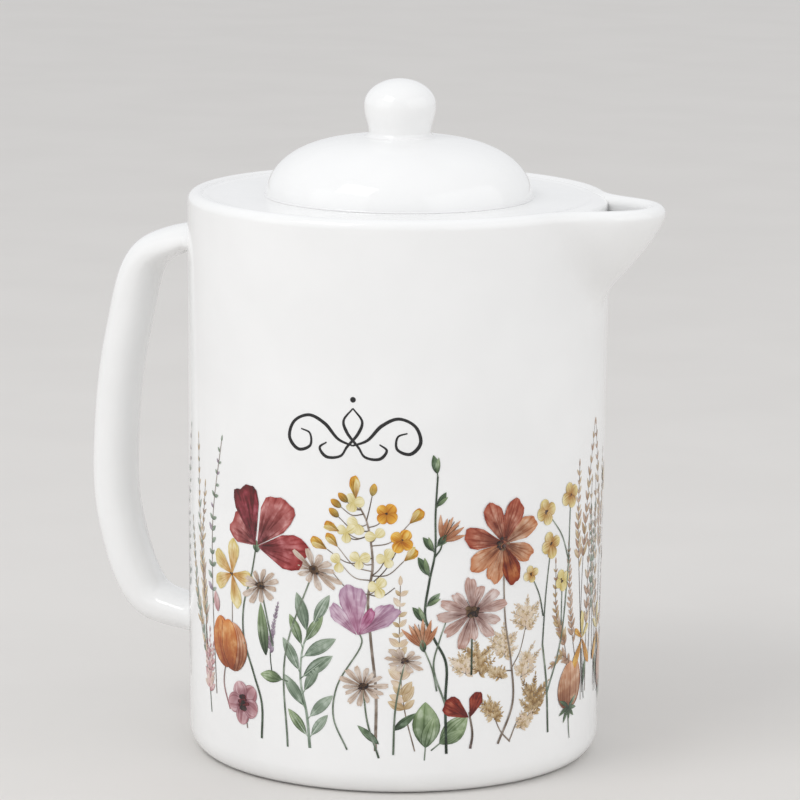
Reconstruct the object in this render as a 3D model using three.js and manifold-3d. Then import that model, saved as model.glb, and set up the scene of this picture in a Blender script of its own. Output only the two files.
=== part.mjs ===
// Lidded porcelain pitcher: a near-cylindrical pot with a flat shoulder, a V-shaped pouring beak,
// a loop handle and a domed lift-off lid with a button knob.
// Millimetres, +Z up. The beak points along +X and the handle along -X. The origin lies on the plane
// that the pot stands on, halfway between the handle's outermost point and the beak's tip.
import * as THREE from 'three';
import { ConvexGeometry } from 'three/addons/geometries/ConvexGeometry.js';
import { mergeVertices } from 'three/addons/utils/BufferGeometryUtils.js';
import Module from 'manifold-3d';

const wasm = await Module();
wasm.setup();

// ---- Driving dimensions ---------------------------------------------------------------------

const GAP = 0.3; // between pieces that touch
const TURN_STEPS = 80; // facets round the pot and the lid

const RIM_RADIUS = 60; // outside, at the rim
const BASE_RADIUS = 58.8; // outside, just above the rounded base edge
const RIM_HEIGHT = 161; // top of the rim's rolled edge
const WALL = 4.6;
const FLOOR = 6;
const RIM_BEAD = 2.6; // radius of the rolled edge
const BASE_EDGE = { across: 5.5, up: 7 }; // rounded edge between base and wall
const FOOT = { inner: 44, outer: 52, recess: 1.6 }; // unglazed ring that the pot stands on
const INSIDE_CORNER = 8; // fillet between the floor and the wall

const SHOULDER_TOP = 160; // flat ledge inside the rim that carries the lid
const SHOULDER_THICKNESS = 4.6;
const MOUTH_RADIUS = 34.5;

const LID_RADIUS = 37.8;
const LID_RISE = 17; // dome's height above the ledge
const LID_WALL = 4;
const DOME_POWER = 2.9; // flat on top and steep at the edge
const COLLAR = { clearance: 0.8, wall: 3.4, depth: 11 }; // ring that keeps the lid centred

const KNOB = { radius: 10.2, neck: 8.8, foot: 9.4, widestAbove: 8.3, height: 15.8, neckAbove: 1.6 };

const BEAK_REACH = 78; // from the pot's axis to the tip
const BEAK = {
  tipRadius: 18.5, // rounding of the tip, seen from above
  sideAngle: 27, // degrees between each side and +X, seen from above
  wallAngle: 23.4, // degrees each side of +X at which the beak's lip leaves the rim
  bottom: 134.5, // height at which the keel meets the wall
  lipBottom: 158, // height of the tip's outermost point
  bulge: 1.35, // above 1 makes the keel belly outwards
  chamfer: 1.3,
  edge: { back: 0.8, half: 2 }, // rounding of the keel's edge
  root: { lip: 14, keel: 12, down: 10 }, // how far the solid runs on behind the wall, which then trims it
  wall: 3.8,
  keelWall: 1.2, // wall left at the keel
  floorRise: 5, // height of the channel's floor above the keel
};

const HANDLE_REACH = 93; // from the pot's axis to the handle's outermost point
const HANDLE = {
  thick: 11.4, // across the loop's plane
  wide: 17,
  power: 2.3, // superellipse: 2 is an ellipse, more is squarer
  steps: 56,
  // distance from the pot's axis and height of the loop's centre line, from top to bottom
  route: [[52, 142], [64, 142.6], [77, 136.6], [83.7, 116], [87.2, 90], [86.5, 62], [77, 38.4], [64, 35], [52, 36]],
};

const AXIS_X = (HANDLE_REACH - BEAK_REACH) / 2; // puts the origin in the middle of the length

// ---- Materials ------------------------------------------------------------------------------

const glaze = new THREE.MeshStandardMaterial({ color: 0xf2f1ee, roughness: 0.12, metalness: 0 });

// ---- Helpers --------------------------------------------------------------------------------

const radians = THREE.MathUtils.degToRad;
const v2 = (radius, height) => new THREE.Vector2(radius, height);

/** Points of an elliptical arc, angles in degrees, both ends included. */
function arc(centre, across, up, from, to, steps) {
  return Array.from({ length: steps + 1 }, (_, i) => {
    const angle = radians(from + ((to - from) * i) / steps);
    return v2(centre[0] + across * Math.cos(angle), centre[1] + up * Math.sin(angle));
  });
}

/** A closed solid turned about +Z from a profile of (radius, height) points. */
function turned(profile) {
  const geometry = new THREE.LatheGeometry(profile, TURN_STEPS);
  geometry.rotateX(Math.PI / 2);
  return geometry;
}

/** A three.js geometry as a manifold-3d solid, whichever way its faces were wound. */
function toSolid(geometry) {
  const bare = geometry.index ? geometry.toNonIndexed() : geometry.clone();
  bare.deleteAttribute('normal');
  bare.deleteAttribute('uv');
  const merged = mergeVertices(bare, 1e-4);
  const corners = merged.index.array;
  const triangles = [];
  for (let i = 0; i < corners.length; i += 3) {
    const [a, b, c] = [corners[i], corners[i + 1], corners[i + 2]];
    if (a !== b && b !== c && c !== a) triangles.push(a, b, c);
  }
  const mesh = new wasm.Mesh({
    numProp: 3,
    vertProperties: new Float32Array(merged.attributes.position.array),
    triVerts: new Uint32Array(triangles),
  });
  mesh.merge();
  return new wasm.Manifold(mesh);
}

/** A manifold-3d solid as a three.js geometry. */
function toGeometry(solid) {
  const mesh = solid.getMesh();
  const geometry = new THREE.BufferGeometry();
  geometry.setAttribute('position', new THREE.BufferAttribute(mesh.vertProperties, 3));
  geometry.setIndex(new THREE.BufferAttribute(mesh.triVerts, 1));
  geometry.computeVertexNormals();
  return geometry;
}

/** Outside radius of the pot's wall at a height: a slight taper from rim to base. */
function wallRadius(height) {
  const t = (height - BASE_EDGE.up) / (RIM_HEIGHT - RIM_BEAD - BASE_EDGE.up);
  return THREE.MathUtils.lerp(BASE_RADIUS, RIM_RADIUS, t);
}

/** The space that the pot's wall fills, grown by the gap: it trims what is joined to the wall. */
function wallCutter() {
  const [low, high] = [0, RIM_HEIGHT + 20];
  const geometry = new THREE.CylinderGeometry(
    wallRadius(high) + GAP, wallRadius(low) + GAP, high - low, TURN_STEPS * 2);
  geometry.rotateX(Math.PI / 2);
  geometry.translate(0, 0, (low + high) / 2);
  return toSolid(geometry);
}

/** A flat slab wider than the pot, between two heights. */
function slab(low, high) {
  const side = 4 * RIM_RADIUS;
  const geometry = new THREE.BoxGeometry(side, side, high - low);
  geometry.translate(0, 0, (low + high) / 2);
  return toSolid(geometry);
}

// ---- Beak shape, shared by the beak and the passage behind it -----------------------------------

/** Distance from the axis to the keel's edge at a height. */
function keelReach(height) {
  const t = THREE.MathUtils.clamp((BEAK.lipBottom - height) / (BEAK.lipBottom - BEAK.bottom), 0, 1);
  return RIM_RADIUS + (BEAK_REACH - RIM_RADIUS) * (1 - t ** BEAK.bulge);
}

/** The beak's outline seen from above, made smaller all round by inset. */
function lipOutline(inset, height) {
  const tipRadius = BEAK.tipRadius - inset;
  const centre = BEAK_REACH - BEAK.tipRadius;
  const root = wallRadius(height) - inset / 2;
  const angle = radians(BEAK.wallAngle);
  const rootHalfWidth = root * Math.sin(angle) - inset;
  const points = [];
  for (const side of [-1, 1]) {
    points.push(new THREE.Vector3(root * Math.cos(angle), side * rootHalfWidth, height));
    points.push(new THREE.Vector3(root * Math.cos(angle) - BEAK.root.lip, side * rootHalfWidth, height));
  }
  for (const { x, y } of arc([centre, 0], tipRadius, tipRadius, BEAK.sideAngle - 90, 90 - BEAK.sideAngle, 12)) {
    points.push(new THREE.Vector3(x, y, height));
  }
  return points;
}

/** Points down the keel, moved in and up by the given amounts. */
function keel(inset, rise) {
  const points = [];
  const levels = 8;
  for (let i = 0; i <= levels; i += 1) {
    const height = THREE.MathUtils.lerp(BEAK.bottom, BEAK.lipBottom - rise, i / levels);
    const reach = keelReach(height) - inset;
    points.push(new THREE.Vector3(reach, 0, height + rise));
    for (const side of [-1, 1]) {
      points.push(new THREE.Vector3(reach - BEAK.edge.back, side * BEAK.edge.half, height + rise));
    }
  }
  points.push(new THREE.Vector3(RIM_RADIUS - BEAK.root.keel, 0, BEAK.bottom - BEAK.root.down + rise));
  return points;
}

function beakOutside() {
  const full = lipOutline(0, RIM_HEIGHT - BEAK.chamfer);
  const top = lipOutline(BEAK.chamfer, RIM_HEIGHT);
  return toSolid(new ConvexGeometry([...full, ...top, ...keel(0, 0)]));
}

/** The open channel inside the beak; it runs on through the pot's wall. */
function beakChannel() {
  const low = lipOutline(BEAK.wall, RIM_HEIGHT - BEAK.chamfer);
  const above = lipOutline(BEAK.wall - BEAK.chamfer / 2, RIM_HEIGHT + 2);
  return toSolid(new ConvexGeometry([...low, ...above, ...keel(BEAK.keelWall, BEAK.floorRise)]));
}

// ---- Sub-parts ------------------------------------------------------------------------------

/** Slip-cast pot: foot ring, floor, wall, rolled rim, shoulder with the mouth, window to the beak. */
function potBody() {
  const beadRadius = RIM_RADIUS - RIM_BEAD;
  const beadHeight = RIM_HEIGHT - RIM_BEAD;
  const beadEnd = 180 - THREE.MathUtils.radToDeg(Math.asin((SHOULDER_TOP - beadHeight) / RIM_BEAD));
  const ceiling = SHOULDER_TOP - SHOULDER_THICKNESS;
  const inside = (height) => wallRadius(height) - WALL;
  const edgeCentre = [BASE_RADIUS - BASE_EDGE.across, BASE_EDGE.up];
  const mouthEdge = 1.4;
  const upperCorner = 4;
  const floorEdge = FLOOR + INSIDE_CORNER;
  const profile = [
    v2(0, FOOT.recess),
    v2(FOOT.inner - FOOT.recess, FOOT.recess),
    v2(FOOT.inner, 0),
    v2(FOOT.outer, 0),
    ...arc(edgeCentre, BASE_EDGE.across, BASE_EDGE.up, -86, 0, 7),
    ...arc([beadRadius, beadHeight], RIM_BEAD, RIM_BEAD, 0, beadEnd, 8),
    ...arc([MOUTH_RADIUS + mouthEdge, SHOULDER_TOP - mouthEdge], mouthEdge, mouthEdge, 90, 180, 3),
    v2(MOUTH_RADIUS, ceiling),
    ...arc([inside(ceiling) - upperCorner, ceiling - upperCorner], upperCorner, upperCorner, 90, 0, 4),
    ...arc([inside(floorEdge) - INSIDE_CORNER, floorEdge], INSIDE_CORNER, INSIDE_CORNER, 0, -90, 6),
    v2(0, FLOOR),
  ];
  const ledge = slab(SHOULDER_TOP - SHOULDER_THICKNESS, SHOULDER_TOP);
  const window = beakChannel().subtract(ledge);
  return toGeometry(toSolid(turned(profile)).subtract(window));
}

/** Open V-shaped beak, joined to the outside of the wall. */
function pouringBeak() {
  return toGeometry(beakOutside().subtract(beakChannel()).subtract(wallCutter()));
}

/** Loop handle: a flattened oval section carried along its route, trimmed to the wall. */
function handle() {
  const section = new THREE.Shape(
    Array.from({ length: 24 }, (_, i) => {
      const angle = (i / 24) * 2 * Math.PI;
      const squash = (value) => Math.sign(value) * Math.abs(value) ** (2 / HANDLE.power);
      return v2((squash(Math.cos(angle)) * HANDLE.wide) / 2, (squash(Math.sin(angle)) * HANDLE.thick) / 2);
    }));
  const route = new THREE.CatmullRomCurve3(
    HANDLE.route.map(([out, height]) => new THREE.Vector3(-out, 0, height)), false, 'centripetal');
  const loop = new THREE.ExtrudeGeometry(section, { steps: HANDLE.steps, extrudePath: route });
  return toGeometry(toSolid(loop).subtract(wallCutter()));
}

/** Height of the dome's outside, or of its hollow, above its edge. */
function domeRise(radius, edge, rise) {
  return rise * Math.sqrt(Math.max(0, 1 - (radius / edge) ** DOME_POWER));
}

/** Hollow domed cover with the collar that drops into the mouth. */
function lidCover() {
  const seat = SHOULDER_TOP + GAP;
  const collarOuter = MOUTH_RADIUS - COLLAR.clearance;
  const collarInner = collarOuter - COLLAR.wall;
  const collarBottom = SHOULDER_TOP - COLLAR.depth;
  const steps = 14;
  const spread = (i) => Math.sin(((i / steps) * Math.PI) / 2);
  const outside = Array.from({ length: steps + 1 }, (_, i) => {
    const radius = LID_RADIUS * spread(steps - i);
    return v2(radius, SHOULDER_TOP + Math.max(GAP, domeRise(radius, LID_RADIUS, LID_RISE)));
  });
  const hollow = Array.from({ length: steps + 1 }, (_, i) => {
    const radius = collarInner * spread(i);
    return v2(radius, seat + domeRise(radius, LID_RADIUS - LID_WALL, LID_RISE - LID_WALL));
  });
  const edge = 0.8;
  const profile = [
    ...hollow,
    v2(collarInner, collarBottom + edge),
    v2(collarInner + edge, collarBottom),
    v2(collarOuter - edge, collarBottom),
    v2(collarOuter, collarBottom + edge),
    v2(collarOuter, seat),
    ...outside,
  ];
  return turned(profile);
}

/** Button knob: a flattened ball on a short waisted neck. */
function lidKnob() {
  const bottom = SHOULDER_TOP + LID_RISE + GAP;
  const widest = bottom + KNOB.widestAbove;
  const neckHeight = bottom + KNOB.neckAbove;
  const waist = (KNOB.radius - KNOB.neck) / 2;
  const flank = Array.from({ length: 7 }, (_, i) => {
    const t = i / 6;
    return v2(KNOB.neck + waist * (1 - Math.cos(Math.PI * t)), THREE.MathUtils.lerp(neckHeight, widest, t));
  });
  const crown = arc([0, widest], KNOB.radius, KNOB.height - KNOB.widestAbove, 9, 90, 9);
  crown[crown.length - 1].x = 0;
  return turned([v2(0, bottom), v2(KNOB.foot, bottom), ...flank, ...crown]);
}

// ---- Assembly -------------------------------------------------------------------------------

/** A named mesh in the pitcher's frame. */
function piece(name, geometry) {
  const mesh = new THREE.Mesh(geometry, glaze.clone());
  mesh.name = name;
  return mesh;
}

const lid = new THREE.Group();
lid.add(piece('lid_cover', lidCover()), piece('lid_knob', lidKnob()));

const pot = new THREE.Group();
pot.add(piece('pot_body', potBody()), piece('pouring_beak', pouringBeak()), piece('handle', handle()));

const pitcher = new THREE.Group();
pitcher.position.x = AXIS_X;
pitcher.add(pot, lid);

export default pitcher;
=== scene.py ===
"""Lidded porcelain pitcher with a printed wildflower border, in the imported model's frame.

Shapes are worked out in millimetres from the pot's own axis, and become metres in the row's frame
when their mesh is made.
"""
import math
import random
import bmesh
import bpy
import numpy as np
from mathutils import Matrix, Vector


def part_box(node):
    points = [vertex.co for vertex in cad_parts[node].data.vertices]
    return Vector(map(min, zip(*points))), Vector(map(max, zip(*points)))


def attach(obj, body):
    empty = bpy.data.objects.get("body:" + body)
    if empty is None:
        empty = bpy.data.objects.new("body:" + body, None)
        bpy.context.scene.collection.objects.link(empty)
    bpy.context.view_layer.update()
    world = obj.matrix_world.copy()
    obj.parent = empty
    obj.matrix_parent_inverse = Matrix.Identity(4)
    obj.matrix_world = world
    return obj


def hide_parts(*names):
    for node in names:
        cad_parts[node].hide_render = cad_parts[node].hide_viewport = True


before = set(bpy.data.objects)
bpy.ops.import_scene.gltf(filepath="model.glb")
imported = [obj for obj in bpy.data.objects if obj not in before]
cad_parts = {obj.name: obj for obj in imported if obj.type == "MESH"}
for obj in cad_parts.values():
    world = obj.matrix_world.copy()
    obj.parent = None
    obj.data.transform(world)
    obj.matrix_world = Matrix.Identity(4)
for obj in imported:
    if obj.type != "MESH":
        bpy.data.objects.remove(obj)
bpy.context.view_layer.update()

MM = 0.001


def cad_box(node):
    """A CAD node's lowest and highest corner, in millimetres."""
    low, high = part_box(node)
    return np.array(low) / MM, np.array(high) / MM


# ---- Sizes read from the frame, millimetres

POT_LOW, POT_HIGH = cad_box("pot_body")
LID_LOW, LID_HIGH = cad_box("lid_cover")
KNOB_LOW, KNOB_HIGH = cad_box("lid_knob")
_, BEAK_HIGH = cad_box("pouring_beak")

AXIS_X = (POT_LOW[0] + POT_HIGH[0]) / 2
RIM_RADIUS = (POT_HIGH[1] - POT_LOW[1]) / 2
RIM_HEIGHT = POT_HIGH[2]
BEAK_REACH = BEAK_HIGH[0] - AXIS_X
LID_RADIUS = (LID_HIGH[1] - LID_LOW[1]) / 2
DOME_TOP = LID_HIGH[2]
KNOB_TOP = KNOB_HIGH[2]

# ---- Sizes that repeat the CAD model's, millimetres

BASE_RADIUS = 58.8
BASE_EDGE = (5.5, 7.0)  # across and up
WALL = 4.6
FLOOR = 6.0
INSIDE_CORNER = 8.0
FOOT = (44.0, 52.0, 1.6)  # inner radius, outer radius, recess
RIM_BEAD = 2.6
SHOULDER_TOP = 160.0
SHOULDER_THICKNESS = 4.6
MOUTH_RADIUS = 34.5
LID_WALL = 4.0
DOME_POWER = 2.9
COLLAR = (33.7, 30.3, 11.0)  # outer radius, inner radius, depth
KNOB_NECK = 8.8
KNOB_WIDEST_HEIGHT = 185.6
BEAK_BOTTOM = 134.5
LIP_HEIGHT = RIM_HEIGHT - RIM_BEAD
TIP_RADIUS = (9.0, 18.5)  # rounding of the beak seen from above, at its foot and at its lip
SIDE_ANGLE = (46.0, 27.0)  # degrees between the beak's sides and +X, at its foot and at its lip
KEEL_POWER = 1.35  # how the beak's keel curves outwards as it rises
BEAK_FILLET = 5.0
# the loop's middle line, distance from the axis and height, within 1.5 mm of the CAD model's
HANDLE_ROUTE = ((64, 143.3), (77, 137.2), (83.7, 116), (87.2, 90), (86.5, 62), (77, 37.9), (64, 33.6))
HANDLE_HALF = (5.7, 8.5)  # across and along the loop's width
HANDLE_POWER = 2.3  # 2 would be an ellipse, and more is squarer
# how full the side towards the pot is, where the loop leaves the rim, in the middle, and at its foot
INSIDE_FULLNESS = (0.5, 1.08, 0.8)


# ---- Small helpers

def ride(obj, body, *nodes, slot=None):
    """obj moves with body and stands for nodes."""
    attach(obj, body)
    if nodes:
        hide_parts(*nodes)
    return obj


def add_object(name, data):
    """A new object in the scene."""
    obj = bpy.data.objects.new(name, data)
    bpy.context.collection.objects.link(obj)
    return obj


def add_mesh(name, points, faces, material, normals=None):
    """A smooth mesh object from points in millimetres from the pot's axis."""
    points = np.asarray(points, float).reshape(-1, 3)
    mesh = bpy.data.meshes.new(name)
    world = (points + (AXIS_X, 0, 0)) * MM
    mesh.from_pydata(world.tolist(), [], faces)
    mesh.materials.append(material)
    mesh.polygons.foreach_set("use_smooth", [True] * len(mesh.polygons))
    if normals is not None:
        mesh.normals_split_custom_set_from_vertices(np.asarray(normals, float).tolist())
    mesh.update()
    return add_object(name, mesh)


def grid_faces(rows, columns, closed=True, first=0):
    """Quads between rows of points; closed joins the last column to the first."""
    faces = []
    last = columns if closed else columns - 1
    for i in range(rows - 1):
        for j in range(last):
            a = first + i * columns + j
            b = first + i * columns + (j + 1) % columns
            faces.append((a, b, b + columns, a + columns))
    return faces


def arc(centre, across, up, start, end, steps):
    """Points of an elliptical arc in (radius, height), angles in degrees."""
    angles = np.radians(np.linspace(start, end, steps + 1))
    return [(centre[0] + across * math.cos(t), centre[1] + up * math.sin(t)) for t in angles]


def circle(theta, radius, height):
    """A plain circle with a point at each angle."""
    level = np.full(len(theta), height)
    return np.column_stack([radius * np.cos(theta), radius * np.sin(theta), level])


def lathe(name, profile, material, steps=160):
    """A solid turned from a profile that runs from the axis to the axis, or closes on itself."""
    closed = np.allclose(profile[0], profile[-1])
    if closed:
        profile = profile[:-1]
    theta = np.linspace(0, 2 * math.pi, steps, endpoint=False)
    rows = [circle(theta, radius, height) for radius, height in profile]
    faces = grid_faces(len(rows), steps)
    if closed:
        last = (len(rows) - 1) * steps
        faces += [(last + j, last + (j + 1) % steps, (j + 1) % steps, j) for j in range(steps)]
    return tidy(add_mesh(name, rows, faces, material))


def tidy(obj):
    """Merges the points that meet on the axis and turns every face outwards."""
    bm = bmesh.new()
    bm.from_mesh(obj.data)
    bmesh.ops.remove_doubles(bm, verts=bm.verts, dist=1e-6)
    bmesh.ops.dissolve_degenerate(bm, dist=1e-7, edges=bm.edges)
    bmesh.ops.recalc_face_normals(bm, faces=bm.faces)
    bm.to_mesh(obj.data)
    bm.free()
    obj.data.update()
    return obj


# ---- Materials

def new_material(name):
    """A material, its node tree and its surface shader."""
    material = bpy.data.materials.new(name)
    material.use_nodes = True
    return material, material.node_tree, material.node_tree.nodes["Principled BSDF"]


def connect(tree, node, inputs):
    """Sets a node's inputs, each to a value or to another node's output."""
    for name, value in inputs.items():
        if isinstance(value, bpy.types.NodeSocket):
            tree.links.new(value, node.inputs[name])
        else:
            node.inputs[name].default_value = value


def new_node(tree, kind, inputs, result):
    """One output of a new node with these inputs."""
    node = tree.nodes.new(kind)
    connect(tree, node, inputs)
    return node.outputs[result]


def attribute(tree, name, result):
    """A value that the mesh stores at its points."""
    node = tree.nodes.new("ShaderNodeAttribute")
    node.attribute_name = name
    return node.outputs[result]


def noise(tree, scale, detail):
    """A noise texture in the object's own coordinates."""
    place = new_node(tree, "ShaderNodeTexCoord", {}, "Object")
    return new_node(tree, "ShaderNodeTexNoise",
                    {"Scale": scale, "Detail": detail, "Vector": place}, "Fac")


def ramp(tree, value, *stops):
    """A colour ramp between two (position, colour) stops."""
    node = tree.nodes.new("ShaderNodeValToRGB")
    for element, (position, colour) in zip(node.color_ramp.elements, stops):
        element.position = position
        element.color = (*colour, 1)
    connect(tree, node, {"Fac": value})
    return node.outputs["Color"]


def remap(tree, value, source, target):
    """value's range source stretched to the range target, smoothly at both ends."""
    node = tree.nodes.new("ShaderNodeMapRange")
    node.interpolation_type = "SMOOTHSTEP"
    connect(tree, node, {"Value": value, "From Min": source[0], "From Max": source[1],
                         "To Min": target[0], "To Max": target[1]})
    return node.outputs["Result"]


def add(tree, first, second):
    """The sum of two values: a math node adds unless it is set to something else."""
    return new_node(tree, "ShaderNodeMath", {0: first, 1: second}, "Value")


def bump(tree, height, strength, distance):
    """A surface normal that leans with the slope of height."""
    return new_node(tree, "ShaderNodeBump",
                    {"Strength": strength, "Distance": distance, "Height": height}, "Normal")


def finish_gloss(tree, shader):
    """The gloss that glaze and print share: slightly uneven, with the soft ripple of fired glaze."""
    connect(tree, shader, {
        "Roughness": remap(tree, noise(tree, 90, 3), (0.3, 0.7), (0.07, 0.12)),
        "Normal": bump(tree, noise(tree, 130, 2), 0.25, 0.00012),
        "IOR": 1.52,
    })


def glaze_material(name):
    """White gloss glaze with faint clouding."""
    material, tree, shader = new_material(name)
    cloud = ramp(tree, noise(tree, 38, 2),
                 (0.35, (0.885, 0.885, 0.88)), (0.65, (0.915, 0.915, 0.91)))
    connect(tree, shader, {"Base Color": cloud, "Coat Weight": 0.35, "Coat Roughness": 0.04})
    finish_gloss(tree, shader)
    return material


def biscuit_material():
    """Bare fired clay on the foot ring: matt, faintly warm and grainy."""
    material, tree, shader = new_material("biscuit")
    grain = noise(tree, 900, 4)
    connect(tree, shader, {
        "Base Color": ramp(tree, grain, (0.3, (0.72, 0.69, 0.64)), (0.7, (0.82, 0.80, 0.76))),
        "Normal": bump(tree, grain, 0.5, 0.0002),
        "Roughness": 0.75,
    })
    return material


def print_material():
    """Watercolour under the glaze: uneven washes, veins, and pigment gathered at the edges."""
    material, tree, shader = new_material("print")
    marks = tree.nodes.new("ShaderNodeSeparateXYZ")
    connect(tree, marks, {"Vector": attribute(tree, "marks", "Vector")})
    edge, vein, seed = marks.outputs
    stretched = new_node(tree, "ShaderNodeCombineXYZ", {"X": vein, "Y": edge, "Z": seed}, "Vector")
    streaks = new_node(tree, "ShaderNodeTexNoise",
                       {"Scale": 2.2, "Detail": 2, "Vector": stretched}, "Fac")

    # the exponent is the wash's depth: below 1 it thins towards white, above 1 it pools darker
    wash = remap(tree, noise(tree, 330, 3), (0.36, 0.74), (1.12, 0.55))
    rim = remap(tree, edge, (0.84, 1.0), (0, 0.5))
    lines = remap(tree, streaks, (0.46, 0.68), (0, 0.6))
    depth = add(tree, wash, add(tree, rim, lines))
    tint = attribute(tree, "pigment", "Color")
    pooled = new_node(tree, "ShaderNodeGamma", {"Color": tint, "Gamma": depth}, "Color")
    connect(tree, shader, {"Base Color": pooled})
    finish_gloss(tree, shader)
    return material


def ink_material():
    """Near-black print line under the glaze, a little uneven in density."""
    material, tree, shader = new_material("ink")
    black = ramp(tree, noise(tree, 500, 2),
                 (0.3, (0.006, 0.006, 0.007)), (0.75, (0.016, 0.016, 0.017)))
    connect(tree, shader, {"Base Color": black})
    finish_gloss(tree, shader)
    return material


# ---- Pot

def wall_radius(height):
    """Outside radius of the wall, which tapers a little towards the base."""
    t = (height - BASE_EDGE[1]) / (LIP_HEIGHT - BASE_EDGE[1])
    return BASE_RADIUS + (RIM_RADIUS - BASE_RADIUS) * t


def keel_reach(height):
    """Distance from the axis to the beak's keel; below the beak it runs on a little inside the wall."""
    t = (LIP_HEIGHT - height) / (LIP_HEIGHT - BEAK_BOTTOM)
    if t > 1:
        return RIM_RADIUS - min(KEEL_POWER * (BEAK_REACH - RIM_RADIUS) * (t - 1), 12)
    return RIM_RADIUS + (BEAK_REACH - RIM_RADIUS) * (1 - max(t, 0) ** KEEL_POWER)


def smooth_max(a, b, width):
    """The larger of two lengths, with a fillet where they are within width of each other."""
    h = np.maximum(width - np.abs(a - b), 0) / width
    return np.maximum(a, b) + h * h * width / 4


def outline(theta, height):
    """The pot's outline seen from above at a height, beak included: radius at each angle."""
    wall = wall_radius(height)
    reach = keel_reach(height)
    up = np.clip((height - BEAK_BOTTOM) / (LIP_HEIGHT - BEAK_BOTTOM), 0, 1)
    share = math.sin(up * math.pi / 2)
    tip_radius = TIP_RADIUS[0] + (TIP_RADIUS[1] - TIP_RADIUS[0]) * share
    slant = math.radians(SIDE_ANGLE[0] + (SIDE_ANGLE[1] - SIDE_ANGLE[0]) * share)
    centre = reach - tip_radius
    angle = np.abs((theta + math.pi) % (2 * math.pi) - math.pi)
    bearing = angle + slant
    past = np.maximum(bearing - math.pi / 2, 0)  # beyond the point where the side is nearest the axis
    flank = (centre * math.sin(slant) + tip_radius) / np.sin(np.minimum(bearing, math.pi / 2))
    flank = flank - 40 * past  # falls away quickly, so that the wall takes over
    corner = np.arctan2(tip_radius * math.cos(slant), centre + tip_radius * math.sin(slant))
    tip = np.sqrt(np.maximum(tip_radius ** 2 - (centre * np.sin(angle)) ** 2, 0))
    nose = centre * np.cos(angle) + tip
    side = np.where(angle < corner, nose, flank)
    return smooth_max(wall, side, BEAK_FILLET)


def pot_angles():
    """Angles round the pot, closer together across the beak."""
    beak = np.radians(np.arange(-42, 42, 0.5))
    rest = np.radians(np.arange(42, 318, 1.5))
    return np.concatenate([beak, rest])


def ring(theta, height, inset=0.0):
    """The outline at a height, moved inwards along its own normal."""
    radius = outline(theta, height)
    curve = np.stack([radius * np.cos(theta), radius * np.sin(theta)], axis=1)
    if inset:
        ahead = outline(theta + 1e-4, height)
        behind = outline(theta - 1e-4, height)
        slope = (ahead - behind) / 2e-4
        normal = np.stack([
            radius * np.cos(theta) + slope * np.sin(theta),
            radius * np.sin(theta) - slope * np.cos(theta),
        ], axis=1)
        normal /= np.linalg.norm(normal, axis=1)[:, None]
        curve = curve - normal * inset
    return np.column_stack([curve, np.full(len(theta), height)])


def pot_shell(glaze, biscuit):
    """Foot, floor, wall, rolled rim and beak as one skin, outside and inside."""
    theta = pot_angles()
    inner, outer, recess = FOOT
    foot = [(0, recess), (inner - 2.2, recess), (inner - 1.4, recess - 0.2), (inner - 0.4, 0.35),
            (inner + 0.4, 0.0), (outer - 0.6, 0.0), (outer, 0.12)]
    edge = arc((BASE_RADIUS - BASE_EDGE[0], BASE_EDGE[1]), *BASE_EDGE, -84, 0, 12)
    rows = [circle(theta, radius, height) for radius, height in foot + edge]
    fine_from = 124  # rings are closer together from below the beak upwards
    plain = np.linspace(BASE_EDGE[1], fine_from, 22)[1:]
    beak = np.linspace(fine_from, LIP_HEIGHT, 46)[1:]
    rows += [ring(theta, height) for height in np.concatenate([plain, beak])]
    for t in np.radians(np.linspace(0, 180, 19))[1:]:
        bead = ring(theta, LIP_HEIGHT, RIM_BEAD * (1 - math.cos(t)))
        bead[:, 2] = LIP_HEIGHT + RIM_BEAD * math.sin(t)
        rows.append(bead)
    for height in np.concatenate([beak[::-1][1:], plain[::-1]]):
        under_lip = min((LIP_HEIGHT - height) / 5, 1)  # the bead narrows to the wall over 5 mm
        if height > FLOOR + INSIDE_CORNER:
            rows.append(ring(theta, height, 2 * RIM_BEAD + (WALL - 2 * RIM_BEAD) * under_lip))
    flat = wall_radius(FLOOR + INSIDE_CORNER) - WALL - INSIDE_CORNER
    corner = arc((flat, FLOOR + INSIDE_CORNER), INSIDE_CORNER, INSIDE_CORNER, 0, -90, 8)
    rows += [circle(theta, radius, height) for radius, height in corner + [(0, FLOOR)]]
    obj = tidy(add_mesh("pot_shell", rows, grid_faces(len(rows), len(theta)), glaze))
    obj.data.materials.append(biscuit)
    for face in obj.data.polygons:
        x, y, z = face.center / MM
        if z < 0.2 and inner - 0.5 < math.hypot(x - AXIS_X, y) < outer + 0.3:
            face.material_index = 1
    return obj


def pot_shoulder(glaze):
    """The flat ledge that carries the lid. Its edge is let into the wall, and bridges the beak."""
    under = SHOULDER_TOP - SHOULDER_THICKNESS
    edge = 59.2  # within the wall, except across the beak
    profile = [
        *arc((MOUTH_RADIUS + 1.6, SHOULDER_TOP - 1.6), 1.6, 1.6, 180, 90, 6),
        (45, SHOULDER_TOP), (52, SHOULDER_TOP), (53.4, SHOULDER_TOP + 0.02),
        (54.3, SHOULDER_TOP + 0.12), (54.9, SHOULDER_TOP + 0.3), (56.5, SHOULDER_TOP + 0.3),
        *arc((edge - 1.5, SHOULDER_TOP - 1.5), 1.5, 1.5, 90, 0, 6),
        *arc((edge - 1.6, under + 1.6), 1.6, 1.6, 0, -90, 5),
        (50, under),
        *arc((MOUTH_RADIUS + 1.2, under + 1.2), 1.2, 1.2, 270, 180, 4),
    ]
    profile.append(profile[0])
    return lathe("pot_shoulder", profile, glaze, 240)


# ---- Handle

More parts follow.
